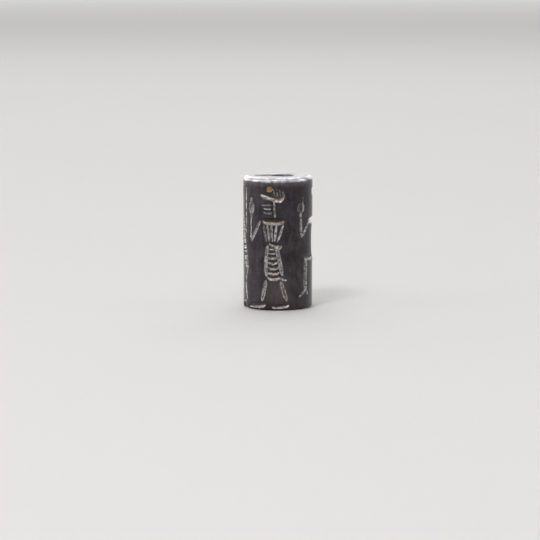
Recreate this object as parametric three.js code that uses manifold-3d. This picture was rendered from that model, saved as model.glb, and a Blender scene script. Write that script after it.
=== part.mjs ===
// A cylinder seal of polished haematite, standing on its lower end.
// Millimetres, +Z up, origin on the axis at the foot. The robed worshipper faces -Y.
// The stone is one piece: a slightly tapering drum, drilled right through for a cord, with a
// frieze of figures sunk into its wall, so that it rolls out as a raised strip on clay.
import * as THREE from 'three';
import { mergeVertices } from 'three/addons/utils/BufferGeometryUtils.js';
import Module from 'manifold-3d';

// Driving sizes of the stone
const sealHeight = 20.8;
const topDiameter = 10.95;
const footDiameter = 10.85;
const topRimWear = 0.6; // rounding of the outer rims, worn more at the top
const footRimWear = 0.35;
const boreMouthDiameter = 3.6;
const boreWaistDiameter = 3.0; // drilled from both ends, so it narrows to the middle
const boreDrift = 0.7; // how far off the axis, towards +X, the bore comes out at the top
const boreLipWear = 0.25;
const wallFacets = 48;
const boreFacets = 24;

// Driving sizes of the frieze
const groundMargin = 0.6; // from the foot up to the line that the figures stand on
const headMargin = 0.9; // from the highest horn up to the top end
const cutDepth = 0.42; // of a full wheel cut; the deeper and shallower ones are shares of it
const chipReach = 0.55; // how far the larger rim chips run down or across

// Places in the frieze, as shares of one turn, measured from the front towards +X
const worshipperTurn = -0.024;
const striderTurn = 0.26;
const animalTurn = 0.545;
const rampantTurn = 0.79;

const stoneColour = 0x4a4547;
const stoneRoughness = 0.28;
const stoneMetalness = 0.55;

const meanRadius = (topDiameter + footDiameter) / 4;
const circumference = 2 * Math.PI * meanRadius;
const friezeHeight = sealHeight - groundMargin - headMargin;
const friezeUnit = friezeHeight / 100; // the figures are drawn in hundredths of the frieze

// Radius of the tapering wall at a height
function wallRadius(z) {
  const share = z / sealHeight;
  return footDiameter / 2 + (share * (topDiameter - footDiameter)) / 2;
}

// The drum before it is drilled, turned from its profile. Each rim is rounded in two steps.
function turnedDrum() {
  const softly = 0.3; // how far in the middle of a rounded rim lies, as a share of its wear
  const points = [
    [0, 0],
    [wallRadius(0) - footRimWear, 0],
    [wallRadius(0) - footRimWear * softly, footRimWear * softly],
    [wallRadius(footRimWear), footRimWear],
    [wallRadius(sealHeight - topRimWear), sealHeight - topRimWear],
    [wallRadius(sealHeight) - topRimWear * softly, sealHeight - topRimWear * softly],
    [wallRadius(sealHeight) - topRimWear, sealHeight],
    [0, sealHeight],
  ].map(([radius, height]) => new THREE.Vector2(radius, height));
  return new THREE.LatheGeometry(points, wallFacets).rotateX(Math.PI / 2);
}

// What the drills take away: two cones that meet at the waist, leaning towards +X as they rise
function boreCutter() {
  const mouth = boreMouthDiameter / 2;
  const clearOfEnd = 1;
  const points = [
    [0, -clearOfEnd],
    [mouth + boreLipWear, -clearOfEnd],
    [mouth + boreLipWear, 0],
    [mouth, boreLipWear],
    [boreWaistDiameter / 2, sealHeight / 2],
    [mouth, sealHeight - boreLipWear],
    [mouth + boreLipWear, sealHeight],
    [mouth + boreLipWear, sealHeight + clearOfEnd],
    [0, sealHeight + clearOfEnd],
  ].map(([radius, height]) => new THREE.Vector2(radius, height));
  const bore = new THREE.LatheGeometry(points, boreFacets).rotateX(Math.PI / 2);
  const place = bore.getAttribute('position');
  for (let i = 0; i < place.count; i++) {
    place.setX(i, place.getX(i) + (boreDrift * place.getZ(i)) / sealHeight);
  }
  return bore;
}

// The tools: a thin wheel leaves a V, and a broad wheel or a drill leaves a round-bottomed gouge.
// A bar with more sides cuts a rounder bottom, and one with more stations a fuller outline.
const thinWheel = { sides: 4, stations: 3 };
const shortWheel = { sides: 4, stations: 2 };
const broadWheel = { sides: 6, stations: 4 };

// One groove between two points of a figure, both [across, up]. The bow is how far its middle
// swings to the left of the way from the first point to the second. Depth is a share of cutDepth.
function groove(from, to, width, depth, tool = thinWheel, bow = 0) {
  return { from, to, width, depth, tool, bow };
}

// The same short groove repeated up or down a figure
function ladder(count, rung) {
  return Array.from({ length: count }, (_, i) => rung(count > 1 ? i / (count - 1) : 0, i));
}

const mix = (a, b, share) => a + (b - a) * share;

// Long-robed worshipper in profile, one hand raised in front of the face
function robedWorshipper() {
  const hem = 23.5;
  const waist = 52.5;
  const shoulder = 70;
  const pleatTops = [-7.8, -4.6, -1.3, 3, 8.7];
  const pleatFeet = [-5.2, -2.8, -0.3, 1.5, 3.8];
  const bodice = pleatTops.map((top, i) =>
    groove([top, shoulder - 3], [pleatFeet[i], waist + 0.6], 2, 0.75));
  const skirtRungs = ladder(7, (share) => {
    const z = mix(47.7, hem + 0.8, share ** 1.08);
    return groove([mix(-3.6, -4.8, share), z], [mix(2, 6.2, share), z], mix(3, 4.4, share),
      mix(0.65, 1.05, share), shortWheel, -0.8 * share);
  });
  return [
    groove([-10.4, 91.6], [4, 87.4], 4.6, 1, broadWheel), // brim of the cap
    groove([-2.5, 91.4], [9.4, 89.6], 11.6, 1.25, broadWheel), // crown of the cap
    groove([-5.2, 95.8], [-0.4, 95.6], 4.4, 1.1, shortWheel), // drilled pit above the brim
    groove([-9.8, 83], [-1, 83.1], 2.1, 0.6, shortWheel), // face
    groove([-7.8, 80.2], [-1.2, 80.1], 2.1, 0.65, shortWheel),
    groove([-7.8, 77], [-0.8, 76.6], 2.1, 0.6, shortWheel),
    groove([1, 86], [1.8, 72.2], 1.9, 0.65), // hair down the neck
    groove([-8.8, shoulder], [9.6, shoulder - 0.4], 6.4, 1.3, broadWheel),
    ...bodice,
    groove([-2.8, waist - 0.7], [5.2, waist - 2.7], 4.4, 1, shortWheel), // belt
    groove([7, waist - 2.4], [5, waist - 5.4], 2.2, 0.7, shortWheel), // end of the belt
    groove([-4.2, waist - 2], [-5.2, hem + 0.6], 3, 0.55, thinWheel, -0.9), // edges of the robe
    groove([2.8, waist - 3.4], [7.8, hem + 1.6], 3.2, 0.6, thinWheel, 0.3),
    groove([5, hem + 0.4], [11.8, hem - 1.4], 3, 0.75, shortWheel), // flared corner of the hem
    ...skirtRungs,
    groove([-5.6, hem - 1.8], [-9.3, 4.4], 3.2, 0.6), // legs
    groove([6.6, hem - 2.6], [11.6, 4.6], 3.6, 0.8),
    groove([-22.4, -0.6], [-6, 1.6], 4.8, 1.1), // feet
    groove([-0.8, -0.2], [13.8, 1.5], 4.2, 0.9),
    groove([-10.8, shoulder], [-20.4, 52.8], 2.6, 0.85), // upper arm
    groove([-21, 53], [-20.8, 74], 2.1, 0.75), // forearm
    groove([-20.4, 75.6], [-20.2, 84.4], 7.2, 0.8), // palm
    groove([-20.6, 71], [-20, 88.8], 3.7, 0.75), // fingers and wrist
  ];
}

// Short-kilted god who sets one foot forward, knee bent, with the same raised hand
function stridingGod() {
  const shoulder = 69;
  const waist = 53;
  const knee = 39.8;
  return [
    groove([0, shoulder - 1], [-0.2, knee - 2], 19, 0.6, broadWheel), // the trunk as a whole
    groove([-8.4, 93.4], [7.6, 88.6], 7.6, 1.2, broadWheel), // cap
    ...ladder(5, (share) =>
      groove([mix(-6.2, 4.2, share), 97.4 - 4.2 * share], [mix(-5, 5.4, share), 91 - 4 * share],
        1.3, 1.5, shortWheel)),
    ...ladder(3, (share) =>
      groove([-7 + 1.2 * share, mix(84, 77, share)], [-0.2, mix(83.6, 76.6, share)], 2, 0.6, shortWheel)),
    groove([1.8, 87], [2.2, 73], 1.9, 0.55), // hair down the neck
    groove([-16, shoulder - 0.6], [18, shoulder + 1.2], 5.6, 1.5, broadWheel),
    ...ladder(4, (share) =>
      groove([mix(-7.2, 9.6, share), shoulder - 2.6], [mix(-3.6, 5.4, share), waist + 3], 2.2, 0.95)),
    ...ladder(3, (share) =>
      groove([-7.2, waist + 1.4 - 6 * share], [6.6, waist + 0.2 - 6 * share], 2, 1, shortWheel, 0.7)),
    groove([-3, knee - 1], [-21.6, knee - 0.6], 5, 1.3, broadWheel), // raised thigh
    groove([-19.6, knee + 1], [-20.2, 11], 5, 0.9), // shin
    groove([-19.9, 12.6], [-27.8, 6.8], 2.3, 0.75, shortWheel), // forward foot
    groove([-21, 14.4], [-15.4, 8.4], 2.3, 0.75, shortWheel),
    ...ladder(5, (share) =>
      groove([mix(-3.4, 1.2, share), mix(37, 21, share)], [mix(2.2, 9, share), mix(39, 28.6, share)],
        2.3, 0.95, shortWheel)),
    groove([-5.4, 39.6], [0.4, 19.6], 2.3, 0.7), // front edge of the kilt
    groove([12.4, 21], [-2.4, 8.4], 3.1, 0.85, thinWheel, 0.8), // standing leg
    groove([7.2, 24.6], [9.4, 3], 2.8, 0.7),
    groove([-3, 0.4], [11.4, 1.2], 3.4, 0.9), // standing foot
    groove([-13.4, shoulder], [-25.4, 56], 2.8, 0.95), // upper arm
    groove([-25.4, 56.4], [-26, 77.2], 3, 0.85), // forearm
    groove([-26.2, 76.4], [-24.4, 83.4], 7.6, 0.9), // raised hand
    groove([-23.8, 80.4], [-23.4, 89.4], 1.7, 0.5), // its fingertips
    groove([18, shoulder + 1.6], [21.6, shoulder + 5.8], 1.5, 0.5, shortWheel),
  ];
}

// Horned animal lying down, facing left, its long neck hatched with two rows of mane
function recumbentAnimal() {
  const back = 41;
  const belly = 24;
  const rump = -20;
  const chest = 25;
  const crown = 73;
  const maneRows = 9;
  const middle = (back + belly) / 2;
  return [
    groove([rump, middle + 1.6], [chest, middle - 0.6], 11, 1.3, broadWheel, -1.6),
    groove([rump - 2, middle + 0.4], [rump + 11, middle + 0.8], 14.5, 1.6, broadWheel), // haunch
    groove([chest - 12, middle], [chest + 1, middle - 1.4], 14, 1.6, broadWheel), // shoulder
    ...ladder(6, (share) =>
      groove([mix(rump + 7, chest - 8, share), belly + 2.4], [mix(rump + 9, chest - 6, share), middle],
        2, 1.85, shortWheel)),
    groove([chest - 3, middle - 2], [16.4, crown - 4], 5.4, 0.8, thinWheel, -2), // neck
    ...ladder(maneRows, (share) => {
      const z = mix(crown - 4, middle + 3, share);
      const x = mix(17.4, 22.6, share);
      return groove([x, z], [x + 8.6, z - 1.8], 1.7, 0.75, shortWheel);
    }),
    ...ladder(maneRows - 2, (share) => {
      const z = mix(crown - 9, middle + 6, share);
      const x = mix(15.8, 20.4, share);
      return groove([x, z], [x - 4.4, z - 2.6], 1.6, 0.7, shortWheel);
    }),
    groove([-0.6, crown + 1.4], [12.4, crown + 1.2], 2.6, 0.8, shortWheel), // ear
    groove([1.6, crown - 5.2], [9.6, crown - 5.2], 2.8, 0.9, shortWheel), // cheek
    groove([-2.6, crown - 12.4], [11.4, crown - 13.4], 2.4, 0.8, shortWheel), // jaw
    groove([-11.4, crown - 3.2], [-2, crown - 7.2], 4.2, 1.1, broadWheel), // muzzle
    groove([-1.8, crown - 13], [-2.8, crown - 21], 1.8, 0.6, shortWheel), // beard
    groove([-15.8, 97], [4.6, crown + 6], 2.4, 0.8, thinWheel, 5.2), // horn
    groove([rump - 14.6, back - 4.6], [rump - 4.6, back - 2], 2.2, 0.8, shortWheel), // tail
    groove([rump - 9, back - 4], [rump - 5.6, 14], 3, 0.65), // hind leg
    groove([rump - 5, 13.6], [rump + 12.6, 12], 3.4, 1.05), // hind hoof
    groove([chest - 1.6, belly + 2], [chest + 6.6, 8.2], 2.6, 0.7), // fore leg
    groove([chest - 17.4, 11.8], [chest + 4, 8.4], 3.4, 1.05), // fore hoof
  ];
}

// Slim animal reared on its hind legs, its flank hatched
function rampantAnimal() {
  const shoulder = 62;
  const haunch = 31;
  const flankRibs = 5;
  return [
    groove([-9.8, 84.6], [2.4, 96.4], 2.4, 0.6), // horn
    groove([-7.6, 95.6], [-4.4, 86.4], 2.2, 0.6, shortWheel), // ear
    ...ladder(3, (share) =>
      groove([mix(-8.6, -5, share), mix(76, 69, share)], [mix(-2.6, 1, share), mix(75, 68, share)],
        2, 0.7, shortWheel)),
    groove([-5.6, 72], [3.2, shoulder - 2], 2.8, 0.65), // throat
    groove([4.9, 97], [4.4, shoulder - 4], 2, 0.55), // back of the neck
    groove([-2.6, shoulder + 1], [6, haunch - 1], 7, 1, broadWheel, 0.8), // body
    ...ladder(flankRibs, (share) =>
      groove([mix(-4.6, 1.8, share), mix(52.6, 35.6, share)], [mix(1.6, 8, share), mix(54.4, 37, share)],
        1.8, 1.35, shortWheel)),
    groove([8.8, haunch + 2], [7.2, 4.2], 2.9, 0.8, thinWheel, -4), // hind leg
    groove([5.6, 4.4], [-1.6, 2.8], 2.4, 0.7, shortWheel), // hoof
    groove([-6.8, 16], [-4.4, 4.4], 2.4, 0.6), // far hind leg
    groove([-3.4, shoulder - 4], [-9, 50], 2, 0.6, shortWheel), // foreleg
  ];
}

// Chips broken out of the rims: where on the turn, at which height, how large and how tall
function rimChips() {
  return [
    { turn: 0.13, z: sealHeight, reach: 1.3, tall: 1 },
    { turn: -0.045, z: sealHeight, reach: 0.8, tall: 1.3 },
    { turn: -0.13, z: sealHeight, reach: 0.7, tall: 1.2 },
    { turn: 0.24, z: sealHeight, reach: 0.8, tall: 1 },
    { turn: 0.42, z: sealHeight, reach: 0.9, tall: 1 },
    { turn: -0.2, z: 0, reach: 1.3, tall: 2.4 },
    { turn: 0.05, z: 0, reach: 0.6, tall: 1 },
    { turn: 0.63, z: 0, reach: 0.9, tall: 1 },
  ];
}

// Shallow channel that a cord has worn into the top end, beside the bore
function cordChannel() {
  const middle = -1.3;
  const halfLength = 2.5;
  const halfWidth = 1.2;
  const depth = 0.35;
  return new THREE.SphereGeometry(1, 12, 8).rotateX(Math.PI / 2).scale(halfLength, halfWidth, depth)
    .translate(middle, 0, sealHeight);
}

// Bends a flat piece, across x, up y and out z, round the wall
function wrapped(geometry) {
  const place = geometry.getAttribute('position');
  for (let i = 0; i < place.count; i++) {
    const angle = place.getX(i) / meanRadius;
    const height = place.getY(i);
    const radius = wallRadius(height) + place.getZ(i);
    place.setXYZ(i, radius * Math.sin(angle), -radius * Math.cos(angle), height);
  }
  return geometry;
}

// What the wheel takes away for one groove: a bar, pointed at both ends, laid along its line
function grooveCutter({ from, to, width, depth, tool, bow }, turn) {
  const endShare = 0.2; // a wheel lifts out over a short blunt end
  const barClearance = 0.6;
  const length = Math.hypot(to[0] - from[0], to[1] - from[1]) * friezeUnit;
  const lean = Math.atan2(to[0] - from[0], to[1] - from[1]);
  const bar = new THREE.CylinderGeometry(1, 1, 1, tool.sides, tool.stations);
  const place = bar.getAttribute('position');
  for (let i = 0; i < place.count; i++) {
    const along = place.getY(i) * 2; // -1 at the first end, 1 at the other
    const swell = Math.max(endShare, Math.sqrt(1 - along ** 4));
    const across = place.getX(i) * swell * (width * friezeUnit) / 2;
    const level = place.getZ(i); // above 0 the bar only has to clear the wall
    const out = level > 0 ? level * barClearance : level * swell * depth * cutDepth;
    place.setXYZ(i, across - bow * friezeUnit * (1 - along * along), place.getY(i) * length, out);
  }
  bar.rotateZ(-lean);
  bar.translate(
    turn * circumference + ((from[0] + to[0]) / 2) * friezeUnit,
    groundMargin + ((from[1] + to[1]) / 2) * friezeUnit,
    0,
  );
  return wrapped(bar);
}

// What a blow takes away for one chip: a rough lump across the rim
function chipCutter({ turn, z, reach, tall }) {
  const lump = new THREE.IcosahedronGeometry(chipReach * reach, 0);
  const angle = turn * 2 * Math.PI;
  const radius = wallRadius(z);
  return lump.scale(1.5, 0.75, 0.6 * tall).rotateZ(angle)
    .translate(radius * Math.sin(angle), -radius * Math.cos(angle), z);
}

const wasm = await Module();
wasm.setup();

function solid(geometry) {
  const bare = geometry.index ? geometry.toNonIndexed() : geometry.clone();
  bare.deleteAttribute('normal');
  bare.deleteAttribute('uv');
  const merged = mergeVertices(bare, 1e-4);
  return new wasm.Manifold(new wasm.Mesh({
    numProp: 3,
    vertProperties: merged.attributes.position.array,
    triVerts: new Uint32Array(merged.index.array),
  }));
}

function geometryOf(manifold) {
  const mesh = manifold.getMesh();
  const geometry = new THREE.BufferGeometry();
  geometry.setAttribute('position', new THREE.BufferAttribute(mesh.vertProperties, 3));
  geometry.setIndex(new THREE.BufferAttribute(mesh.triVerts, 1));
  geometry.computeVertexNormals();
  return geometry;
}

function carvedStone() {
  const figures = [
    [robedWorshipper(), worshipperTurn],
    [stridingGod(), striderTurn],
    [recumbentAnimal(), animalTurn],
    [rampantAnimal(), rampantTurn],
  ];
  const cutters = figures.flatMap(([grooves, turn]) => grooves.map((one) => grooveCutter(one, turn)));
  cutters.push(...rimChips().map(chipCutter), cordChannel(), boreCutter());
  const taken = cutters.map(solid).reduce((all, one) => all.add(one));
  return geometryOf(solid(turnedDrum()).subtract(taken));
}

const haematite = new THREE.MeshStandardMaterial({
  color: stoneColour,
  roughness: stoneRoughness,
  metalness: stoneMetalness,
});

const seal = new THREE.Mesh(carvedStone(), haematite);
seal.name = 'seal';

const part = new THREE.Group();
part.add(seal);

export default part;
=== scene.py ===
# %% [markdown]
# # A haematite cylinder seal
#
# This is a drum of dark iron ore about as long as a finger joint, drilled lengthwise for a cord. A
# frieze is sunk into its wall with small wheels and drills. Rolled over damp clay, the sunk figures
# come out raised. We saw the drum from a cylinder, drill it, cut the frieze into it groove by
# groove, knock a few chips out of its rims, and then spend our care on the polished stone.

# %% Open the frame
import math
import random

import bpy
import numpy as np
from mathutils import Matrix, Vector, noise


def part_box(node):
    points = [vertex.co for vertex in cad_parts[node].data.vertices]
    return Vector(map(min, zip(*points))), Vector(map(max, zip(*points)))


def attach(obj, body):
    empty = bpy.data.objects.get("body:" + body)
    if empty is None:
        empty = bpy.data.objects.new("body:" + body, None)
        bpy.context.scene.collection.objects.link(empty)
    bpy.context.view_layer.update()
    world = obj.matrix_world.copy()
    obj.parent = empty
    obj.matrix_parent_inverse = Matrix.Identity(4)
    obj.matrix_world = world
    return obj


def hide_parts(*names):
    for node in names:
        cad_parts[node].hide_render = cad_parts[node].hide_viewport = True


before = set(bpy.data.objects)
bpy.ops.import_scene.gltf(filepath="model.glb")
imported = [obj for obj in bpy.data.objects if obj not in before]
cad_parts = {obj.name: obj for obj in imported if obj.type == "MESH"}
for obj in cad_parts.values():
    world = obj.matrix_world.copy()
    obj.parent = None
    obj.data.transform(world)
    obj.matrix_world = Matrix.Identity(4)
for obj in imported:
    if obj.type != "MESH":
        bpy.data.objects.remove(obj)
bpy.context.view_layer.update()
stone_low, stone_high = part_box("seal")
bpy.ops.object.select_all(action="DESELECT")
print("The stone's box in mm:", [round(1000 * x, 2) for x in (*stone_low, *stone_high)])

# %% Sizes that everything else hangs on
MM = 0.001
SEAL_HEIGHT = stone_high.z - stone_low.z
TOP_RADIUS = (stone_high.x - stone_low.x) / 2
FOOT_RADIUS = TOP_RADIUS - 0.05 * MM
TOP_RIM_WEAR = 0.6 * MM
FOOT_RIM_WEAR = 0.35 * MM
BORE_MOUTH_RADIUS = 1.8 * MM
BORE_WAIST_RADIUS = 1.5 * MM
BORE_DRIFT = 0.7 * MM
BORE_LIP_WEAR = 0.25 * MM
MEAN_RADIUS = (TOP_RADIUS + FOOT_RADIUS) / 2
CIRCUMFERENCE = 2 * math.pi * MEAN_RADIUS
TINY = 1e-6


def mix(a, b, share):
    return a + (b - a) * share


def in_mm(length):
    return round(length / MM, 2)


def wall_radius(height):
    """Radius of the tapering wall at a height above the foot."""
    return mix(FOOT_RADIUS, TOP_RADIUS, height / SEAL_HEIGHT)


# %% [markdown]
# ## The camera first
#
# The seal was photographed with a long lens from a little above, so its top shows as a thin ellipse
# and its sides run nearly parallel. How flat the two end ellipses are gives the height of the lens.
# It is tilted down, with no shift, so that the other views stay centred.

# %% Camera
FRAME_SIDE = 540
LENS_DISTANCE = 386 * MM
LENS_HEIGHT = 56 * MM
LENS_ASIDE = -1.24 * MM
FOCAL_PIXELS = 2458
PIXELS_UP_TO_HORIZON = 320
SENSOR_WIDTH = 36

camera_data = bpy.data.cameras.new("camera")
camera_data.sensor_width = SENSOR_WIDTH
camera_data.lens = SENSOR_WIDTH * FOCAL_PIXELS / FRAME_SIDE
camera_data.clip_start = 10 * MM
camera_data.clip_end = 20
camera = bpy.data.objects.new("camera", camera_data)
bpy.context.scene.collection.objects.link(camera)
tilt_down = math.atan(PIXELS_UP_TO_HORIZON / FOCAL_PIXELS)
camera.location = (LENS_ASIDE, -LENS_DISTANCE, LENS_HEIGHT)
camera.rotation_euler = (math.pi / 2 - tilt_down, 0, 0)
bpy.context.scene.camera = camera
tilt = round(math.degrees(tilt_down), 1)
print("Lens of", round(camera_data.lens), "mm, tilted down by", tilt, "degrees")

# %% [markdown]
# ## The drum
#
# The seal cutter sawed a drum, tapered it without meaning to and drilled it from both ends, so that
# the bore narrows to a waist and comes out a little off the middle. Long use on a cord rounded the
# rims, the top one most. A profile spun round the axis can't give a bore that leans, so we follow the
# cutter's steps, and each one is an edit-mode tool that a learner needs: scale, bevel, inset, bridge.

# %% Helpers that select by place
RING = 400


def pick(kind, wanted):
    """Selects the vertices, edges or faces for which wanted(item) is true, and ends in edit mode."""
    bpy.ops.object.mode_set(mode="EDIT")
    bpy.ops.mesh.select_all(action="DESELECT")
    bpy.ops.mesh.select_mode(type=kind)
    bpy.ops.object.mode_set(mode="OBJECT")
    mesh = bpy.context.object.data
    items = {"VERT": mesh.vertices, "EDGE": mesh.edges, "FACE": mesh.polygons}[kind]
    chosen = [item for item in items if wanted(item)]
    for item in chosen:
        item.select = True
    bpy.ops.object.mode_set(mode="EDIT")
    return len(chosen)


def ends_of(edge):
    vertices = bpy.context.object.data.vertices
    return [vertices[i].co for i in edge.vertices]


def off_axis(co):
    return math.hypot(co.x, co.y)


# %% Saw the drum and taper it
bpy.ops.mesh.primitive_cylinder_add(
    vertices=RING, radius=FOOT_RADIUS, depth=SEAL_HEIGHT, location=(0, 0, SEAL_HEIGHT / 2)
)
stone = bpy.context.object
stone.name = "seal_stone"
bpy.ops.object.transform_apply(location=True, rotation=True, scale=True)
pick("VERT", lambda v: v.co.z > SEAL_HEIGHT - TINY)
widen = TOP_RADIUS / FOOT_RADIUS
bpy.ops.transform.resize(value=(widen, widen, 1))
print("Drum", in_mm(2 * FOOT_RADIUS), "mm across at the foot,", in_mm(2 * TOP_RADIUS), "at the top")

# %% Round the two rims
RIM_STEPS = 6
RIM_WEARS = (FOOT_RIM_WEAR, TOP_RIM_WEAR)

for side in (0, 1):
    level = side * SEAL_HEIGHT
    rim_edges = pick("EDGE", lambda e: all(abs(co.z - level) < TINY for co in ends_of(e)))
    bpy.ops.mesh.bevel(offset=RIM_WEARS[side], segments=RIM_STEPS, profile=0.5, clamp_overlap=False)
    print("Rounded", rim_edges, "rim edges by", in_mm(RIM_WEARS[side]), "mm")

# %% Open each end with rings of faces, finer towards the rim
END_RINGS = 9
RING_GROWTH = 1.18


def end_cap(side):
    """Picks the one large face left at an end, side 0 for the foot and 1 for the top."""
    height = side * SEAL_HEIGHT
    return lambda f: len(f.vertices) == RING and abs(f.center.z - height) < TINY


for side in (0, 1):
    flat = wall_radius(side * SEAL_HEIGHT) - RIM_WEARS[side] - BORE_MOUTH_RADIUS
    shares = [RING_GROWTH**i for i in range(END_RINGS)]
    for share in shares:
        pick("FACE", end_cap(side))
        bpy.ops.mesh.inset(thickness=flat * share / sum(shares), depth=0)
mouth = min(off_axis(v.co) for v in stone.data.vertices)
print("Each end has", END_RINGS, "rings of faces, down to", in_mm(mouth), "mm off the axis")

# %% Drill it through and narrow the bore to its waist
BORE_CUTS = 7
LIP_STEPS = 3
NEAR_BY = 0.1 * MM


def in_bore(co):
    return off_axis(co) < BORE_MOUTH_RADIUS + NEAR_BY


def bore_ring(height):
    """Picks the ring of points on the bore's wall at a height."""
    return lambda v: in_bore(v.co) and abs(v.co.z - height) < NEAR_BY


def is_mouth(co):
    return in_bore(co) and (co.z < TINY or co.z > SEAL_HEIGHT - TINY)


pick("FACE", lambda f: len(f.vertices) == RING)
bpy.ops.mesh.bridge_edge_loops(interpolation="LINEAR", number_cuts=BORE_CUTS)
for i in range(1, BORE_CUTS + 1):
    height = SEAL_HEIGHT * i / (BORE_CUTS + 1)
    from_waist = abs(2 * height / SEAL_HEIGHT - 1)
    narrow = mix(BORE_WAIST_RADIUS, BORE_MOUTH_RADIUS, from_waist) / BORE_MOUTH_RADIUS
    pick("VERT", bore_ring(height))
    bpy.ops.transform.resize(value=(narrow, narrow, 1), center_override=(0, 0, height))

pick("EDGE", lambda e: all(is_mouth(co) for co in ends_of(e)))
bpy.ops.mesh.bevel(offset=BORE_LIP_WEAR, segments=LIP_STEPS, profile=0.5, clamp_overlap=False)
widths = in_mm(2 * BORE_MOUTH_RADIUS), in_mm(2 * BORE_WAIST_RADIUS)
print("The bore is", widths[0], "mm wide at its mouths and", widths[1], "at its waist")

# %% Net the wall finely enough to hold a frieze
QUARTERS = 3
ROWS_IN_A_QUARTER = 50


def stands_on_the_wall(edge):
    a, b = ends_of(edge)
    return abs(a.z - b.z) > 2 * MM and min(off_axis(a), off_axis(b)) > FOOT_RADIUS - NEAR_BY


for cuts in (QUARTERS, ROWS_IN_A_QUARTER):
    pick("EDGE", stands_on_the_wall)
    bpy.ops.mesh.subdivide(number_cuts=cuts)
bpy.ops.object.mode_set(mode="OBJECT")
mesh = stone.data
triangles = sum(len(f.vertices) - 2 for f in mesh.polygons)
print("The drum has", len(mesh.vertices), "points and", triangles, "triangles")


# %% Lean the bore, so that it comes out off the middle of the top
def read_points():
    flat_list = np.empty(3 * len(mesh.vertices))
    mesh.vertices.foreach_get("co", flat_list)
    return flat_list.reshape(-1, 3)


def write_points():
    mesh.vertices.foreach_set("co", points.ravel())
    mesh.update()


points = read_points()
radii = np.hypot(points[:, 0], points[:, 1])
WORN_RADIUS = BORE_MOUTH_RADIUS + BORE_LIP_WEAR
flat_edge = TOP_RADIUS - TOP_RIM_WEAR
follows = np.clip((flat_edge - radii) / (flat_edge - WORN_RADIUS), 0, 1)
points[:, 0] += BORE_DRIFT * follows * points[:, 2] / SEAL_HEIGHT
write_points()
print("The bore comes out", in_mm(BORE_DRIFT), "mm off the middle at the top")

# %% Wear a channel into the top end where the cord lay
CORD_WEAR_MIDDLE = (-1.3 * MM, 0, SEAL_HEIGHT)
CORD_WEAR_REACH = (2.5 * MM, 1.2 * MM, 0.35 * MM)
offset = (points - CORD_WEAR_MIDDLE) / CORD_WEAR_REACH
under_cord = offset[:, 0] ** 2 + offset[:, 1] ** 2 < 1
on_the_end = (radii > BORE_MOUTH_RADIUS) & (points[:, 2] > SEAL_HEIGHT - 0.3 * MM)
dished = np.flatnonzero(under_cord & on_the_end)
dish_depth = CORD_WEAR_REACH[2] * np.sqrt(1 - offset[dished, 0] ** 2 - offset[dished, 1] ** 2)
points[dished, 2] = np.minimum(points[dished, 2], SEAL_HEIGHT - dish_depth)
write_points()
print("The cord's channel took in", len(dished), "points of the top end")

# %% [markdown]
# ## The frieze
#
# Nearly every line of the frieze is one pass of a small wheel: a groove with a V-shaped bottom that
# is deepest and widest in its middle. The broad parts, such as a cap or an animal's body, are
# drilled and ground round-bottomed. Booleans would cut such grooves, but a hundred of them on a fine
# mesh leave slivers that spoil the polish. So each groove is a formula that says how deep the stone
# is cut at a place, the deepest groove wins, and one Displace modifier sinks the wall by the result.

# %% One groove, in hundredths of the frieze's height
GROUND_MARGIN = 0.6 * MM
HEAD_MARGIN = 0.9 * MM
CUT_DEPTH = 0.42 * MM
UNIT = (SEAL_HEIGHT - GROUND_MARGIN - HEAD_MARGIN) / 100


def groove(start, end, width, depth, broad=False, bow=0, clay=0, shine=1, dust=0.35):
    """A cut from start to end, both (across, up).

    bow pushes its middle sideways, clay is how much ochre it still holds, the shine setting how
    bright the highlight painted on its lips is, and dust how pale its floor is.
    """
    shape = dict(start=start, end=end, width=width, depth=depth, broad=broad, bow=bow)
    return {**shape, "clay": clay, "shine": shine, "dust": dust}


def ground(start, end, width, depth, **look):
    """A broad part, ground with a round bottom."""
    return groove(start, end, width, depth, broad=True, **look)


def ladder(count, rung):
    """The same short groove repeated along a figure. rung gets a share from 0 to 1."""
    return [rung(i / (count - 1)) for i in range(count)]


def rungs(count, first, last, width, depth, **look):
    """Grooves at even steps from the first to the last, both given as (start, end)."""

    def between(share):
        start, end = ([mix(a, b, share) for a, b in zip(p, q)] for p, q in zip(first, last))
        return groove(start, end, width, depth, **look)

    return ladder(count, between)


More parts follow.
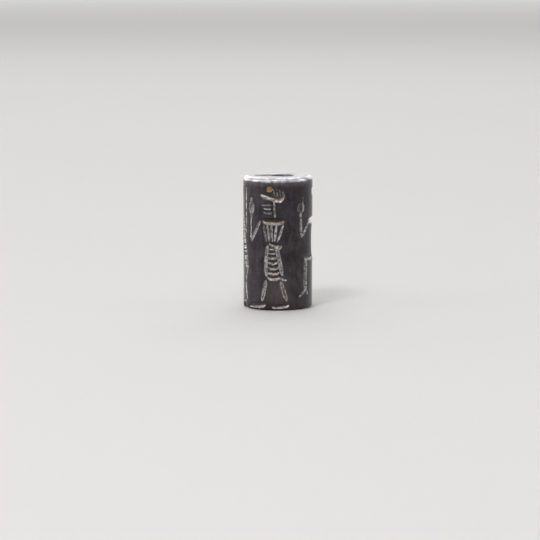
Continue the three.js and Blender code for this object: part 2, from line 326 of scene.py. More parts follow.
# %% The robed worshipper
def robed_worshipper():
    hem, waist, shoulder = 23.5, 52.5, 70
    pleat_tops = (-7.8, -4.6, -1.3, 3, 8.7)
    pleat_feet = (-5.2, -2.8, -0.3, 1.5, 3.8)
    # How bright the highlight painted on each pleat's lips is.
    pleat_shines = (0.5, 0.7, 0.9, 2, 2.2)

    def skirt_rung(share):
        z = mix(47.7, hem + 0.8, share**1.08)
        start, end = (mix(-3.6, -4.8, share), z), (mix(2, 6.2, share), z)
        width, depth = mix(2.8, 4.2, share), mix(0.65, 1.05, share)
        clay = 0.6 if share > 0.8 else 0.1
        shine = mix(0.5, 0.9, share)
        return groove(start, end, width, depth, bow=-0.8 * share, clay=clay, shine=shine, dust=0.1)

    cap = [
        ground((-10.4, 91.6), (4, 87.4), 4.6, 1, clay=0.7, dust=0),
        ground((-2.5, 91.4), (9.4, 89.6), 11, 1.15, clay=0.7, dust=0.1),
        *rungs(4, ((0, 96.4), (1.4, 90)), ((8.2, 94.9), (9.2, 89)), 1.5, 1.6, shine=0.8, dust=0),
        groove((-5.2, 95.8), (-0.4, 95.6), 4.4, 1.1, clay=1),
    ]
    face = [
        groove((-9.8, 83), (-1, 83.1), 1.9, 0.6, shine=0.3),
        groove((-7.8, 80.2), (-1.2, 80.1), 2.1, 0.65, shine=0.6),
        groove((-7.8, 77), (-0.8, 76.6), 1.9, 0.6, shine=0.5),
    ]
    hair = [groove((1, 86), (1.8, 72.2), 1.8, 0.65, shine=0.8)]
    shoulders = [
        ground((-8.8, shoulder), (9.6, shoulder - 0.4), 6.2, 1.3, clay=0.8, shine=0.8, dust=0),
    ]
    chest = [
        groove((top, shoulder - 3), (foot, waist + 0.6), 2, 0.75, shine=shine)
        for top, foot, shine in zip(pleat_tops, pleat_feet, pleat_shines)
    ]
    belt = [
        groove((-2.8, waist - 0.7), (5.2, waist - 2.7), 4.4, 1, shine=0.8, dust=0),
        groove((7, waist - 2.4), (5, waist - 5.4), 2.2, 0.7, clay=0.8),
    ]
    robe = [
        groove((-4.2, waist - 2), (-5.2, hem + 0.6), 3.2, 0.55, bow=-0.9, shine=0.5, dust=1.8),
        groove((2.8, waist - 3.4), (7.8, hem + 1.6), 3.4, 0.6, bow=0.3, shine=0.5, dust=1.6),
        groove((5, hem + 0.4), (11.8, hem - 1.4), 3, 0.75, clay=0.2),
        *ladder(7, skirt_rung),
    ]
    legs = [
        groove((-5.6, hem - 1.8), (-9.3, 4.4), 3.4, 0.6, shine=0.5, dust=1.2),
        groove((6.6, hem - 2.6), (11.6, 4.6), 3.6, 0.8, clay=0.25, dust=0.15),
        groove((-22.4, -0.6), (-6, 1.6), 4.8, 1.1, clay=0.5, shine=0.95, dust=0.1),
        groove((-0.8, -0.2), (13.8, 1.5), 4.2, 0.9, clay=0.4, shine=0.7, dust=0.15),
    ]
    arm = [
        groove((-10.8, shoulder), (-20.4, 52.8), 2.6, 0.85, shine=1.7),
        groove((-21, 53), (-20.8, 74), 2.1, 0.75, shine=0.9),
        groove((-20.4, 75.6), (-20.2, 84.4), 7.2, 0.8, shine=0.6, dust=1),
        groove((-20.6, 71), (-20, 88.8), 3.7, 0.75, shine=0.6, dust=1),
    ]
    return cap + face + hair + shoulders + chest + belt + robe + legs + arm


# %% The striding god
def striding_god():
    shoulder, waist, knee = 69, 53, 39.8
    collar, belt_top = shoulder - 2.6, waist + 3

    def belt_row(share):
        level = waist - 6 * share
        return groove((-7.2, level + 1.4), (6.6, level + 0.2), 2, 1, bow=0.7)

    trunk = [ground((0, shoulder - 1), (-0.2, knee - 2), 19, 0.6, shine=0.2, dust=0.1)]
    cap = [
        ground((-8.4, 93.4), (7.6, 88.6), 7.6, 1.2, clay=0.3),
        *rungs(5, ((-6.2, 97.4), (-5, 91)), ((4.2, 93.2), (5.4, 87)), 1.3, 1.5),
    ]
    face = [
        *rungs(3, ((-7, 84), (-0.2, 83.6)), ((-5.8, 77), (-0.2, 76.6)), 2, 0.6),
        groove((1.8, 87), (2.2, 73), 1.9, 0.55),
    ]
    body = [
        ground((-16, shoulder - 0.6), (18, shoulder + 1.2), 5.6, 1.5, clay=0.3, shine=0.7),
        *rungs(4, ((-7.2, collar), (-3.6, belt_top)), ((9.6, collar), (5.4, belt_top)), 2.2, 0.95),
        *ladder(3, belt_row),
    ]
    forward_leg = [
        ground((-3, knee - 1), (-21.6, knee - 0.6), 5, 1.3, shine=0.7),
        groove((-19.6, knee + 1), (-20.2, 11), 5, 0.9, shine=0.6, dust=1.2),
        groove((-19.9, 12.6), (-27.8, 6.8), 2.3, 0.75),
        groove((-21, 14.4), (-15.4, 8.4), 2.3, 0.75, shine=2, dust=1),
    ]
    kilt = [
        *rungs(5, ((-3.4, 37), (2.2, 39)), ((1.2, 21), (9, 28.6)), 2.3, 0.95),
        groove((-5.4, 39.6), (0.4, 19.6), 2.3, 0.7),
    ]
    standing_leg = [
        groove((12.4, 21), (-2.4, 8.4), 3.1, 0.85, bow=0.8),
        groove((7.2, 24.6), (9.4, 3), 2.8, 0.7),
        groove((-3, 0.4), (11.4, 1.2), 3.4, 0.9, clay=0.3),
    ]
    arm = [
        groove((-13.4, shoulder), (-25.4, 56), 2.8, 0.95),
        groove((-25.4, 56.4), (-26, 77.2), 3, 0.85, shine=0.9, dust=0.2),
        groove((-26.2, 76.4), (-24.4, 83.4), 7.6, 0.9, shine=0.8, dust=0.3),
        groove((-23.8, 80.4), (-23.4, 89.4), 1.7, 0.5, shine=0.5),
        groove((18, shoulder + 1.6), (21.6, shoulder + 5.8), 1.5, 0.5),
    ]
    return trunk + cap + face + body + forward_leg + kilt + standing_leg + arm


# %% The recumbent animal
def recumbent_animal():
    back, belly, rump, chest, crown = 41, 24, -20, 25, 73
    middle = (back + belly) / 2

    def outer_mane(s):
        x, z = mix(17.4, 22.6, s), mix(crown - 4, middle + 3, s)
        return groove((x, z), (x + 8.6, z - 1.8), 1.7, 0.75)

    def inner_mane(s):
        x, z = mix(15.8, 20.4, s), mix(crown - 9, middle + 6, s)
        return groove((x, z), (x - 4.4, z - 2.6), 1.6, 0.7)

    body = [
        ground((rump, middle + 1.6), (chest, middle - 0.6), 11, 1.3, bow=-1.6, shine=0.5, dust=0.2),
        ground((rump - 2, middle + 0.4), (rump + 11, middle + 0.8), 14.5, 1.6, shine=0.5, dust=0.1),
        ground((chest - 12, middle), (chest + 1, middle - 1.4), 14, 1.6, shine=0.5, dust=0.1),
        *rungs(6, ((-13, belly + 2.4), (-11, middle)), ((17, belly + 2.4), (19, middle)), 2, 1.85),
        groove((rump - 14.6, back - 4.6), (rump - 4.6, back - 2), 2.2, 0.8),
    ]
    neck = [
        groove((chest - 3, middle - 2), (16.4, crown - 4), 5.4, 0.8, bow=-2, shine=0.7),
        *ladder(9, outer_mane),
        *ladder(7, inner_mane),
    ]
    head = [
        groove((-0.6, crown + 1.4), (12.4, crown + 1.2), 2.6, 0.8),
        groove((1.6, crown - 5.2), (9.6, crown - 5.2), 2.8, 0.9),
        groove((-2.6, crown - 12.4), (11.4, crown - 13.4), 2.4, 0.8),
        ground((-11.4, crown - 3.2), (-2, crown - 7.2), 4.2, 1.1),
        groove((-1.8, crown - 13), (-2.8, crown - 21), 1.8, 0.6),
        groove((-15.8, 97), (4.6, crown + 6), 2.4, 0.8, bow=5.2),
    ]
    legs = [
        groove((rump - 9, back - 4), (rump - 5.6, 14), 3, 0.65),
        groove((rump - 5, 13.6), (rump + 12.6, 12), 3.4, 1.05),
        groove((chest - 1.6, belly + 2), (chest + 6.6, 8.2), 2.6, 0.7),
        groove((chest - 17.4, 11.8), (chest + 4, 8.4), 3.4, 1.05),
    ]
    return body + neck + head + legs


# %% The rampant animal
def rampant_animal():
    shoulder, haunch = 62, 31
    head = [
        groove((-9.8, 84.6), (2.4, 96.4), 2.4, 0.6),
        groove((-7.6, 95.6), (-4.4, 86.4), 2.2, 0.6),
        *rungs(3, ((-8.6, 76), (-2.6, 75)), ((-5, 69), (1, 68)), 2, 0.7),
        groove((-5.6, 72), (3.2, shoulder - 2), 2.8, 0.65),
        groove((4.9, 97), (4.4, shoulder - 4), 2, 0.55),
    ]
    body = [
        ground((-2.6, shoulder + 1), (6, haunch - 1), 7, 1, bow=0.8, shine=0.9),
        *rungs(5, ((-4.6, 52.6), (1.6, 54.4)), ((1.8, 35.6), (8, 37)), 1.8, 1.35),
    ]
    legs = [
        groove((8.8, haunch + 2), (7.2, 4.2), 2.9, 0.8, bow=-4, clay=0.4),
        groove((5.6, 4.4), (-1.6, 2.8), 2.4, 0.7, clay=0.4),
        groove((-6.8, 16), (-4.4, 4.4), 2.4, 0.6),
        groove((-3.4, shoulder - 4), (-9, 50), 2, 0.6),
    ]
    return head + body + legs


# %% Place the four figures round the wall, each at a share of a turn from the front
FIGURES = [
    (-0.024, robed_worshipper()),
    (0.26, striding_god()),
    (0.545, recumbent_animal()),
    (0.79, rampant_animal()),
]
grooves = [(turn, one) for turn, figure in FIGURES for one in figure]
print("The frieze has", len(grooves), "grooves, in", len(FIGURES), "figures")

# %% Unroll the wall into a flat strip of points
radii = np.hypot(points[:, 0], points[:, 1])
between_rims = (points[:, 2] > 0.9 * FOOT_RIM_WEAR) & (points[:, 2] < SEAL_HEIGHT - 0.9 * TOP_RIM_WEAR)
on_wall = np.flatnonzero((radii > FOOT_RADIUS - 0.05 * MM) & between_rims)
across = np.arctan2(points[on_wall, 0], -points[on_wall, 1]) * MEAN_RADIUS
up = points[on_wall, 2].copy()
print("The strip is", in_mm(CIRCUMFERENCE), "mm long and has", len(on_wall), "points")


# %% A hand-held wheel wanders a little
def cloud(places, size, seed):
    """Smooth noise from -1 to 1 at each place, with lumps of about that size."""
    shift = Vector((3.1 * seed, 7.7 * seed, 1.3 * seed))
    return np.array([noise.noise(Vector(p) / size + shift) for p in places])


SLOW_SIZE, SLOW_WANDER = 0.9 * MM, 0.035 * MM
QUICK_SIZE, QUICK_WANDER = 0.28 * MM, 0.02 * MM
GRIT_SIZE = 0.13 * MM
PRESSURE_SIZE, PRESSURE_CHANGE = 0.5 * MM, 0.14
wall_points = points[on_wall]


def wander(seed):
    slow = SLOW_WANDER * cloud(wall_points, SLOW_SIZE, seed)
    return slow + QUICK_WANDER * cloud(wall_points, QUICK_SIZE, seed + 1)


across += wander(1)
up += wander(3)
grain = cloud(wall_points, GRIT_SIZE, 5)
pressure = 1 + PRESSURE_CHANGE * cloud(wall_points, PRESSURE_SIZE, 6)
print("The wheel wanders by up to", in_mm(SLOW_WANDER + QUICK_WANDER), "mm")

# %% How deep each groove goes at each point
SAMPLES = (-0.3, 0, 0.3)
CELL_ACROSS = CIRCUMFERENCE / RING
CELL_UP = SEAL_HEIGHT / ((QUARTERS + 1) * (ROWS_IN_A_QUARTER + 1))
LIP_WIDTH = 0.17 * MM
deepest = np.zeros(len(on_wall))
# Each point keeps the painted highlight along the lips of the groove that wins there.
lip_highlight_held = np.zeros(len(on_wall))
clay_held = np.zeros(len(on_wall))
dust_held = np.zeros(len(on_wall))


def cut_at(one, du, dv, length, way):
    """Depth of a groove and the highlight painted on its lips, at places from its middle. way is its
    unit direction.
    """
    along = np.clip((du * way[0] + dv * way[1]) / (length / 2), -1.2, 1.2)
    swell = np.sqrt(np.clip(1 - along**4, 0, 1))
    side = du * way[1] - dv * way[0] + one["bow"] * UNIT * (1 - along**2)
    half_width = np.maximum(swell * one["width"] * UNIT / 2, TINY)
    share = np.clip(abs(side) / half_width, 0, 1)
    bottom = (1 - share**2) ** 0.8 if one["broad"] else 1 - share**1.35
    from_edge = (1 - share) * half_width
    # A highlight is painted along the lips: wider and brightest on lips that face up, dimmer on the
    # sides, none on lips that face down.
    faces_up = np.sign(side) * way[0]
    lip_width = LIP_WIDTH * one["shine"] * (1 + 0.4 * faces_up)
    lit = np.clip(0.8 + 0.9 * faces_up, 0, 1)
    lip_highlight = one["shine"] ** 0.5 * np.clip(2 - from_edge / lip_width, 0, 1) * lit
    return one["depth"] * CUT_DEPTH * swell * bottom, np.where(share < 1, lip_highlight, 0)


for turn, one in grooves:
    start, end = np.array(one["start"]) * UNIT, np.array(one["end"]) * UNIT
    length = np.hypot(*(end - start))
    way = (end - start) / length
    middle = (start + end) / 2 + (turn * CIRCUMFERENCE, GROUND_MARGIN)
    du = (across - middle[0] + CIRCUMFERENCE / 2) % CIRCUMFERENCE - CIRCUMFERENCE / 2
    dv = up - middle[1]
    reach = length / 2 + (one["width"] + abs(one["bow"])) * UNIT
    near = np.flatnonzero(np.hypot(du, dv) < reach)
    depth, lip_highlight = np.zeros(len(near)), np.zeros(len(near))
    for a in SAMPLES:
        for b in SAMPLES:
            places = du[near] + a * CELL_ACROSS, dv[near] + b * CELL_UP
            some_depth, some_lip = cut_at(one, *places, length, way)
            depth += some_depth / len(SAMPLES) ** 2
            lip_highlight += some_lip / len(SAMPLES) ** 2
    depth *= pressure[near]
    wins = depth > deepest[near]
    clay_held[near] = np.where(wins, one["clay"], clay_held[near])
    dust_held[near] = np.where(wins, one["dust"], dust_held[near])
    lip_highlight_held[near] = np.where(wins, lip_highlight, lip_highlight_held[near])
    deepest[near] = np.maximum(deepest[near], depth)
print("Deepest cut:", in_mm(deepest.max()), "mm")

# %% Sink the frieze
RAW_FLOOR = 0.012 * MM
sunk = deepest + RAW_FLOOR * grain * np.clip(deepest / (0.1 * MM), 0, 1)
sunk = np.clip(sunk, 0, None)
full = sunk.max()
weights = stone.vertex_groups.new(name="frieze")
for i, share in zip(on_wall, sunk / full):
    if share > 0:
        weights.add([int(i)], float(share), "REPLACE")
cutter = stone.modifiers.new("frieze", "DISPLACE")
cutter.vertex_group = "frieze"
cutter.direction = "NORMAL"
cutter.mid_level = 0
cutter.strength = -full
bpy.ops.object.modifier_apply(modifier="frieze")
stone.vertex_groups.clear()
print("Sunk", int((sunk > 0).sum()), "points")

# %% [markdown]
# ## Chips and wear
#
# Haematite is hard and brittle, so a seal that knocks about on a cord loses flakes from its rims. A
# chip's floor is part of a rounded lump. Every point of the rim that is inside such a lump is pushed
# inwards until it meets the lump's far side, which leaves the sharp scoop of a real chip.

# %% Push the rims into chips, each given as (turn, side, reach, how tall)
CHIP_REACH = 0.55 * MM
CHIPS = [
    (0.13, 1, 1.3, 1),
    (-0.045, 1, 0.8, 1.3),
    (-0.13, 1, 0.7, 1.2),
    (0.24, 1, 0.8, 1),
    (0.42, 1, 0.9, 1),
    (-0.2, 0, 1.3, 2.4),
    (0.05, 0, 0.6, 1),
    (0.63, 0, 0.9, 1),
]
NICKS = 60
points = read_points()
chipped = np.zeros(len(points))
drawn = random.Random(11)
nicks = [
    (drawn.random(), drawn.choice((0, 1, 1)), drawn.uniform(0.15, 0.45), 1) for _ in range(NICKS)
]


def scoop(turn, side, reach, tall):
    """Takes one lump out of the rim and returns how many points moved.

    Each point in the lump goes inwards to where its path leaves the lump, and that distance is the
    root of a quadratic with the terms a, 2b and c.
    """
    angle = 2 * math.pi * turn
    outward = np.array([math.sin(angle), -math.cos(angle), 0])
    sideways = np.array([math.cos(angle), math.sin(angle), 0])
    upward = np.array([0, 0, 1.0])
    centre = outward * wall_radius(side * SEAL_HEIGHT) + upward * side * SEAL_HEIGHT
    size = CHIP_REACH * reach * np.array([0.75, 1.5, 0.6 * tall])
    axes = np.array([outward, sideways, upward])
    local = (points - centre) @ axes.T / size
    inside = np.flatnonzero((local**2).sum(1) < 1)
    inward = np.array([-1, 0, 1 - 2 * side]) / size
    p = local[inside]
    a = inward @ inward
    b = p @ inward
    c = (p**2).sum(1) - 1
    push = (-b + np.sqrt(b**2 - a * c)) / a
    points[inside] += push[:, None] * (-outward + (1 - 2 * side) * upward)
    chipped[inside] = 1
    return len(inside)


moved = sum(scoop(*chip) for chip in CHIPS + nicks)
write_points()
print("Chips and nicks moved", moved, "points")

# %% Where the stone is raw: in the cuts and on the broken rims
RAW_FROM = 0.05 * MM
BROKEN_CUT = 0.9
BROKEN_LIP_TOP, BROKEN_LIP_FOOT = 0.8, 0.1
cut, lip_highlight, clay, dust, front_sheen = (np.zeros(len(points)) for _ in range(5))
cut[on_wall] = np.clip(deepest / RAW_FROM, 0, 1)
# The highlight painted along the lips of the cuts.
lip_highlight[on_wall] = lip_highlight_held
clay[on_wall] = clay_held
dust[on_wall] = dust_held
broken = np.flatnonzero(chipped)
cut[broken] = BROKEN_CUT
# Chips get a painted highlight too, strong on the top rim and faint at the foot.
lip_highlight[broken] = np.where(points[broken, 2] > SEAL_HEIGHT / 2, BROKEN_LIP_TOP, BROKEN_LIP_FOOT)
print("Raw stone in", int((cut > 0.5).sum()), "points")

# %% Where a highlight is painted round the top rim: a hard uneven band, and a faint one further down
BAND, BAND_FADE = 0.52 * MM, 0.16 * MM
FAINT_BAND, FAINT_SHARE = 1.6 * MM, 0.25
END_FADE, END_SHARE = 0.3 * MM, 0.16
below_top = SEAL_HEIGHT - points[:, 2] + 0.13 * MM * cloud(points, 1.3 * MM, 7)
below_top += 0.09 * MM * cloud(points, 0.4 * MM, 8)
# rim is the share of the painted highlight band at each point.
rim = np.clip(1 - (below_top - BAND) / BAND_FADE, 0, 1)
rim = np.maximum(rim, FAINT_SHARE * np.clip(1 - below_top / FAINT_BAND, 0, 1) ** 1.5)
out_from_axis = np.hypot(points[:, 0], points[:, 1])
rim *= np.clip((out_from_axis - flat_edge) / END_FADE + 1, END_SHARE, 1)
print("Rubbed rim at", int((rim > 0.5).sum()), "points")

# %% Where clay sits in the cord's channel
FULL_DEPTH = 0.2 * MM
CLOT_SIZE = 0.5 * MM
CHANNEL_LIP, CHANNEL_CLAY = 0.35, 0.7
channel = np.clip((SEAL_HEIGHT - points[dished, 2]) / FULL_DEPTH, 0, 1)
channel *= np.clip(0.65 + 1.3 * cloud(points[dished], CLOT_SIZE, 9), 0, 1)
cut[dished] = channel
# The channel gets a faint painted highlight.
lip_highlight[dished] = CHANNEL_LIP * channel
clay[dished] = CHANNEL_CLAY
# The channel loses the painted rim highlight.
rim[dished] *= 1 - channel
print("Clay at up to", len(dished), "points of the channel")

# %% Where a paler brownish sheen is painted on the wall, low on the front
SHEEN_MIDDLE = (0.1 * MM, 3 * MM)
SHEEN_REACH = (3 * MM, 3.4 * MM)
SHEEN_SHARE = 0.4
aside = (across - SHEEN_MIDDLE[0]) / SHEEN_REACH[0]
above = (up - SHEEN_MIDDLE[1]) / SHEEN_REACH[1]
front_sheen[on_wall] = SHEEN_SHARE * np.clip(1 - np.hypot(aside, above), 0, 1) ** 0.8
print("Film at", int((front_sheen > 0).sum()), "points")

# %% Hand these to the materials as attributes
LAYERS = {"cut": cut, "lip_highlight": lip_highlight, "clay": clay, "dust": dust, "rim": rim, "front_sheen": front_sheen}
for name, values in LAYERS.items():
    layer = mesh.attributes.new(name, "FLOAT", "POINT")
    layer.data.foreach_set("value", values.astype(np.float32))
bpy.ops.object.shade_smooth_by_angle(angle=math.radians(50))
print("Attributes:", list(LAYERS))

# %% The stone stands for the frame's solid
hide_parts("seal")
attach(stone, "root")

# %% [markdown]
# ## The stone's finish
#
# Polished haematite is nearly black with a brown or purple cast, and it shines without being a
# mirror. Four things tell it from painted plastic: faint streaks and clouds in its colour, hairline
# scratches and pinholes in its polish, the matt floor of every cut, which holds pale dust and a
# little ochre clay, and the lips of the cuts, where a highlight is painted in beads. A painted
# highlight band runs round the top rim, and a paler brownish sheen is painted low on the front.
# Three node groups with their own inputs make these, and all three finishes use them.


# %% Helpers for nodes
def add(tree, kind, settings=(), **inputs):
    """Adds a node. settings are its own properties, and inputs are values or other nodes' sockets."""
    made = tree.nodes.new(kind)
    for key, value in dict(settings).items():
        setattr(made, key, value)
    for key, value in inputs.items():
        socket = made.inputs[int(key[1:])] if key[0] == "_" else made.inputs[key.replace("_", " ")]
        if isinstance(value, bpy.types.NodeSocket):
            tree.links.new(value, socket)
        else:
            socket.default_value = value
    return made


def new_group(name, inputs, outputs):
    """An empty node group. inputs gives (name, kind, value) and outputs gives (name, kind)."""
    tree = bpy.data.node_groups.new(name, "ShaderNodeTree")
    for label, kind, value in inputs:
        socket = tree.interface.new_socket(label, in_out="INPUT", socket_type=kind)
        socket.default_value = value
    for label, kind in outputs:
        tree.interface.new_socket(label, in_out="OUTPUT", socket_type=kind)
    return tree, tree.nodes.new("NodeGroupInput").outputs, tree.nodes.new("NodeGroupOutput").inputs


def blend(tree, share, a, b):
    """Mixes two colours and returns the colour."""
    return add(tree, "ShaderNodeMix", {"data_type": "RGBA"}, _0=share, _6=a, _7=b).outputs[2]


def maths(tree, operation, a, b=0.0, clamp=False):
    made = add(tree, "ShaderNodeMath", {"operation": operation, "use_clamp": clamp}, _0=a, _1=b)
    return made.outputs[0]


def stretch(tree, value, low, high, to_low=0.0, to_high=1.0):
    """Maps low to high onto another range, and clamps it."""
    made = add(tree, "ShaderNodeMapRange", {}, _0=value, _1=low, _2=high, _3=to_low, _4=to_high)
    return made.outputs[0]


def speckle(tree, where, scale, detail, roughness):
    """Noise from 0 to 1, finer as scale rises."""
    sizes = dict(Scale=scale, Detail=detail, Roughness=roughness)
    return add(tree, "ShaderNodeTexNoise", {}, Vector=where, **sizes).outputs[0]


def use(tree, group, **inputs):
    """Adds a node group and returns its outputs."""
    return add(tree, "ShaderNodeGroup", {"node_tree": group}, **inputs).outputs


# %% Node group: clouds, streaks and specks in the colour
COLOUR, FLOAT = "NodeSocketColor", "NodeSocketFloat"
tree, given, out = new_group(
    "stone clouds",
    [
        ("Deep", COLOUR, (0.03, 0.03, 0.03, 1)),
        ("Cloud", COLOUR, (0.06, 0.05, 0.05, 1)),
        ("Speck", COLOUR, (0.2, 0.08, 0.04, 1)),
        ("Speck share", FLOAT, 0.5),
    ],
    [("Colour", COLOUR), ("Mottle", FLOAT)],
)
where = add(tree, "ShaderNodeTexCoord").outputs["Object"]
lengthwise = add(tree, "ShaderNodeMapping", {}, Vector=where, Scale=(1, 1, 0.22)).outputs[0]
clouds = speckle(tree, where, 420, 5, 0.6)
streaks = speckle(tree, lengthwise, 2600, 4, 0.65)
mottle = maths(tree, "ADD", maths(tree, "MULTIPLY", clouds, 0.6), maths(tree, "MULTIPLY", streaks, 0.4))
share = stretch(tree, mottle, 0.4, 0.6)
specks = speckle(tree, where, 5200, 2, 0.5)
speck_share = maths(tree, "MULTIPLY", stretch(tree, specks, 0.69, 0.76), given["Speck share"])
body_colour = blend(tree, share, given["Deep"], given["Cloud"])
tree.links.new(blend(tree, speck_share, body_colour, given["Speck"]), out["Colour"])
tree.links.new(share, out["Mottle"])
clouds_group = tree

# %% Node group: hairline scratches and pinholes as a height
tree, given, out = new_group(
    "polish marks",
    [("Scratches", FLOAT, 0.5), ("Pinholes", FLOAT, 0.5)],
    [("Height", FLOAT), ("Wear", FLOAT)],
)
where = add(tree, "ShaderNodeTexCoord").outputs["Object"]
SLANT = (0.5, 0.3, 0)
round_drum = add(tree, "ShaderNodeMapping", {}, Vector=where, Scale=(0.12, 0.12, 1)).outputs[0]
slanted = add(tree, "ShaderNodeMapping", {}, Vector=where, Rotation=SLANT, Scale=(0.1, 0.1, 1))
hairs = speckle(tree, round_drum, 9000, 2, 0.7)
slants = speckle(tree, slanted.outputs[0], 5200, 2, 0.7)
lines = maths(tree, "ADD", stretch(tree, hairs, 0.62, 0.74), stretch(tree, slants, 0.66, 0.76))
pores = add(tree, "ShaderNodeTexVoronoi", {}, Vector=where, Scale=3400).outputs["Distance"]
pits = stretch(tree, pores, 0.05, 0.16, 1, 0)
scratch_depth = maths(tree, "MULTIPLY", lines, given["Scratches"])
pit_depth = maths(tree, "MULTIPLY", pits, given["Pinholes"])
lost = maths(tree, "ADD", scratch_depth, pit_depth)
tree.links.new(maths(tree, "SUBTRACT", 1.0, lost), out["Height"])
tree.links.new(lost, out["Wear"])
polish_group = tree

# %% Node group: dark cuts, painted highlights on their lips and round the top rim, and a painted sheen low on the front
tree, given, out = new_group(
    "cuts and painted highlights",
    [
        ("Stone", COLOUR, (0.05, 0.05, 0.05, 1)),
        ("Stone roughness", FLOAT, 0.3),
        ("Cut floor", COLOUR, (0.03, 0.026, 0.026, 1)),
        ("Dust", COLOUR, (0.5, 0.49, 0.49, 1)),
        ("Lip highlight", COLOUR, (0.86, 0.84, 0.86, 1)),
        ("Glint", COLOUR, (1, 1, 1, 1)),
        ("Green highlight", COLOUR, (0.5, 0.7, 0.6, 1)),
        ("Ochre", COLOUR, (0.38, 0.2, 0.09, 1)),
        ("Rim highlight", COLOUR, (0.86, 0.84, 0.9, 1)),
        ("Front sheen", COLOUR, (0.13, 0.1, 0.09, 1)),
    ],
    [("Colour", COLOUR), ("Roughness", FLOAT), ("Metal", FLOAT), ("Relief", FLOAT)],
)
where = add(tree, "ShaderNodeTexCoord").outputs["Object"]
cut_here, lip_highlight_here, clay_here, dust_here, rim_highlight_here, front_sheen_here = (
    add(tree, "ShaderNodeAttribute", {"attribute_name": name}).outputs["Fac"]
    for name in LAYERS
)
beads = speckle(tree, where, 5200, 3, 0.75)
patches = speckle(tree, where, 1300, 3, 0.6)
gaps = speckle(tree, where, 2500, 2, 0.6)
rim_band_noise = speckle(tree, where, 620, 3, 0.6)
dusty = maths(tree, "MULTIPLY", stretch(tree, beads, 0.42, 0.6), dust_here, clamp=True)
dusty = maths(tree, "MULTIPLY", dusty, stretch(tree, gaps, 0.4, 0.58, 0.25, 1))
floor_colour = blend(tree, dusty, given["Cut floor"], given["Dust"])
broken_up = stretch(tree, gaps, 0.4, 0.53, 0.15, 1)
# The highlight painted on the lips is broken into beads, white where it sparkles and green in patches.
beaded = maths(tree, "MULTIPLY", stretch(tree, beads, 0.4, 0.55, 0.35, 1), broken_up)
lip_share = maths(tree, "MULTIPLY", lip_highlight_here, beaded, clamp=True)
sparkle = stretch(tree, beads, 0.53, 0.6)
bright_lip = blend(tree, sparkle, given["Lip highlight"], given["Glint"])
lip_colour = blend(tree, stretch(tree, patches, 0.6, 0.66), bright_lip, given["Green highlight"])
inner_half = stretch(tree, lip_highlight_here, 0.5, 0.8, 1, 0)
fringe = maths(tree, "MULTIPLY", stretch(tree, lip_highlight_here, 0.05, 0.35), inner_half)
packed = stretch(tree, clay_here, 0.85, 0.95)
ochre_share = maths(tree, "MAXIMUM", packed, maths(tree, "MULTIPLY", fringe, clay_here), clamp=True)
in_cut = blend(tree, lip_share, floor_colour, lip_colour)
with_ochre = blend(tree, ochre_share, in_cut, given["Ochre"])
# A paler brownish sheen is painted low on the front wall.
with_front_sheen = blend(tree, front_sheen_here, given["Stone"], given["Front sheen"])
with_cuts = blend(tree, cut_here, with_front_sheen, with_ochre)
# A near-white highlight is painted round the top rim, broken up by noise, and made half metallic.
fine_breakup = stretch(tree, beads, 0.34, 0.56, 0.5, 1)
broad_breakup = stretch(tree, rim_band_noise, 0.42, 0.56, 0.5, 1)
rim_highlight = maths(tree, "MULTIPLY", rim_highlight_here, maths(tree, "MULTIPLY", fine_breakup, broad_breakup))
tree.links.new(blend(tree, rim_highlight, with_cuts, given["Rim highlight"]), out["Colour"])
CUT_ROUGHNESS = 0.32
rough_mix = add(tree, "ShaderNodeMix", {}, _0=cut_here, _2=given["Stone roughness"], _3=CUT_ROUGHNESS)
tree.links.new(rough_mix.outputs[0], out["Roughness"])
# Lips under the painted highlight are made partly metallic, so they also mirror the panels.
highlight_metal = stretch(tree, sparkle, 0, 1, 0.75, 0.1)
lip_metal = maths(tree, "MULTIPLY", maths(tree, "MULTIPLY", lip_share, cut_here), highlight_metal)
tree.links.new(maths(tree, "MAXIMUM", lip_metal, maths(tree, "MULTIPLY", rim_highlight, 0.5)), out["Metal"])
coarse = maths(tree, "MULTIPLY", beads, maths(tree, "MAXIMUM", cut_here, rim_highlight_here))
tree.links.new(coarse, out["Relief"])
cuts_group = tree


# %% Three finishes of one stone
SPECK = (0.16, 0.07, 0.045, 1)
SPECK_SHARE = 0.55
RELIEF_DEPTH = 0.01 * MM
STONE_IOR = 1.43


def haematite(name, deep, cloud, smooth, rough, scratches, pinholes, bump):
    """One finish: its two body colours, its range of roughness, and how marked it is."""
    material = bpy.data.materials.new(name)
    material.use_nodes = True
    tree = material.node_tree
    shader = tree.nodes["Principled BSDF"]
    colours = dict(Deep=(*deep, 1), Cloud=(*cloud, 1), Speck=SPECK)
    body = use(tree, clouds_group, Speck_share=SPECK_SHARE, **colours)
    marks = use(tree, polish_group, Scratches=scratches, Pinholes=pinholes)
    worn = maths(tree, "ADD", marks["Wear"], maths(tree, "MULTIPLY", body["Mottle"], 0.5), clamp=True)
    polish = stretch(tree, worn, 0.0, 1.0, smooth, rough)
    cuts_and_highlights = use(tree, cuts_group, Stone=body["Colour"], Stone_roughness=polish)
    tree.links.new(cuts_and_highlights["Colour"], shader.inputs["Base Color"])
    tree.links.new(cuts_and_highlights["Roughness"], shader.inputs["Roughness"])
    tree.links.new(cuts_and_highlights["Metal"], shader.inputs["Metallic"])
    height = maths(tree, "ADD", marks["Height"], maths(tree, "MULTIPLY", cuts_and_highlights["Relief"], 3.0))
    relief = add(tree, "ShaderNodeBump", {}, Strength=bump, Distance=RELIEF_DEPTH, Height=height)
    tree.links.new(relief.outputs[0], shader.inputs["Normal"])
    shader.inputs["IOR"].default_value = STONE_IOR
    return material


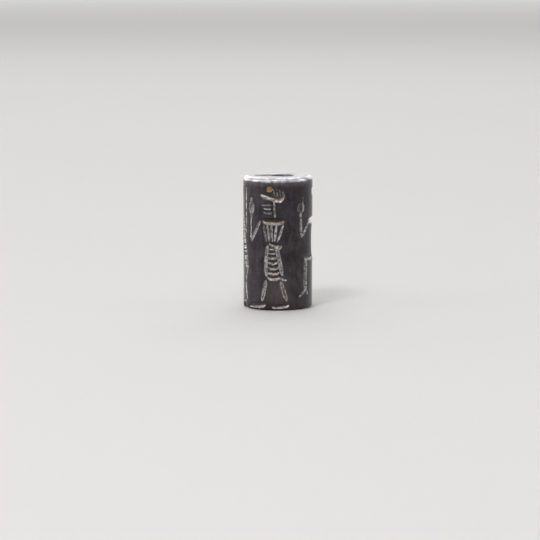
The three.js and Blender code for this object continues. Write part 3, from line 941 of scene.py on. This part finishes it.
finishes = [
    haematite("polished wall", (0.005, 0.002, 0.005), (0.038, 0.029, 0.036), 0.14, 0.32, 0.6, 0.7, 0.7),
    haematite("ground ends", (0.05, 0.044, 0.046), (0.1, 0.088, 0.09), 0.25, 0.42, 0.9, 0.7, 0.9),
    haematite("drilled bore", (0.03, 0.028, 0.032), (0.06, 0.054, 0.056), 0.5, 0.75, 0.8, 0.9, 1.0),
]
for finish in finishes:
    mesh.materials.append(finish)


def finish_of(face):
    """0 for the wall, 1 for a flat end and 2 for the bore."""
    in_the_hole = off_axis(face.center) < BORE_MOUTH_RADIUS + 0.02 * MM
    if in_the_hole and NEAR_BY < face.center.z < SEAL_HEIGHT - NEAR_BY:
        return 2
    return 1 if abs(face.normal.z) > 0.9 else 0


for face in mesh.polygons:
    face.material_index = finish_of(face)
print("Finishes:", [m.name for m in mesh.materials])

# %% [markdown]
# ## Floor and light
#
# A pale matt floor and soft panels. A polished dark stone is seen by what it mirrors: the panel
# behind it lights the flat top and draws the bright line down the left edge, the one overhead rakes
# the frieze so that every lower lip of a groove is bright, together with the highlight painted on
# the lips, and the one above the lens is mirrored by the rounded rim, under a painted highlight band.


# %% Floor
FLOOR_SIDE = 12
bpy.ops.mesh.primitive_plane_add(size=FLOOR_SIDE, location=(0, 0, 0))
floor = bpy.context.object
floor.name = "floor"
paper = bpy.data.materials.new("pale floor")
paper.use_nodes = True
matt = paper.node_tree.nodes["Principled BSDF"].inputs
matt["Base Color"].default_value = (0.6, 0.592, 0.578, 1)
matt["Roughness"].default_value = 0.9
floor.data.materials.append(paper)
print("Floor", FLOOR_SIDE, "m square")


# %% Soft panels
def panel(name, place, aim, width, height, watts, colour=(1, 1, 1)):
    """A soft area light at a place, turned towards a point, which the camera doesn't see."""
    light = bpy.data.lights.new(name, "AREA")
    light.shape = "RECTANGLE"
    light.size, light.size_y = width, height
    light.energy = watts
    light.color = colour
    lamp = bpy.data.objects.new(name, light)
    bpy.context.scene.collection.objects.link(lamp)
    lamp.location = place
    lamp.rotation_euler = (Vector(aim) - Vector(place)).to_track_quat("-Z", "Y").to_euler()
    lamp.visible_camera = False
    return lamp


# %% Place the panels, and a dim room round them
heart = (0, 0, SEAL_HEIGHT / 2)
panel("ceiling", (0, 0, 3.5), (0, 0, 0), 14, 14, 92)
panel("key", (-0.22, -0.42, 0.52), heart, 0.22, 0.22, 1.7, (1.0, 0.985, 0.97))
panel("above the lens", (0, -1.0, 1.25), heart, 1.6, 0.5, 5.5)
panel("overhead", (0, 0.42, 0.9), heart, 1.0, 1.3, 4.8)
panel("back wall", (0, 2.9, 1.1), heart, 5.0, 2.2, 58, (0.98, 0.98, 1.0))
panel("left and behind", (-1.9, 1.1, 0.35), heart, 1.2, 0.7, 9)
panel("left", (-2.0, -0.4, 0.7), heart, 1.3, 1.3, 11.5)
panel("front left", (-1.1, -1.8, 0.42), heart, 1.2, 0.8, 3.5)
panel("right", (2.1, 0, 0.7), heart, 1.3, 1.3, 7.5)

world = bpy.data.worlds.new("soft room")
world.use_nodes = True
room = world.node_tree.nodes["Background"].inputs
room["Color"].default_value = (0.5, 0.5, 0.5, 1)
room["Strength"].default_value = 0.15
bpy.context.scene.world = world
bpy.context.scene.view_settings.view_transform = "Standard"
print("Lights:", [light.name for light in bpy.data.lights])
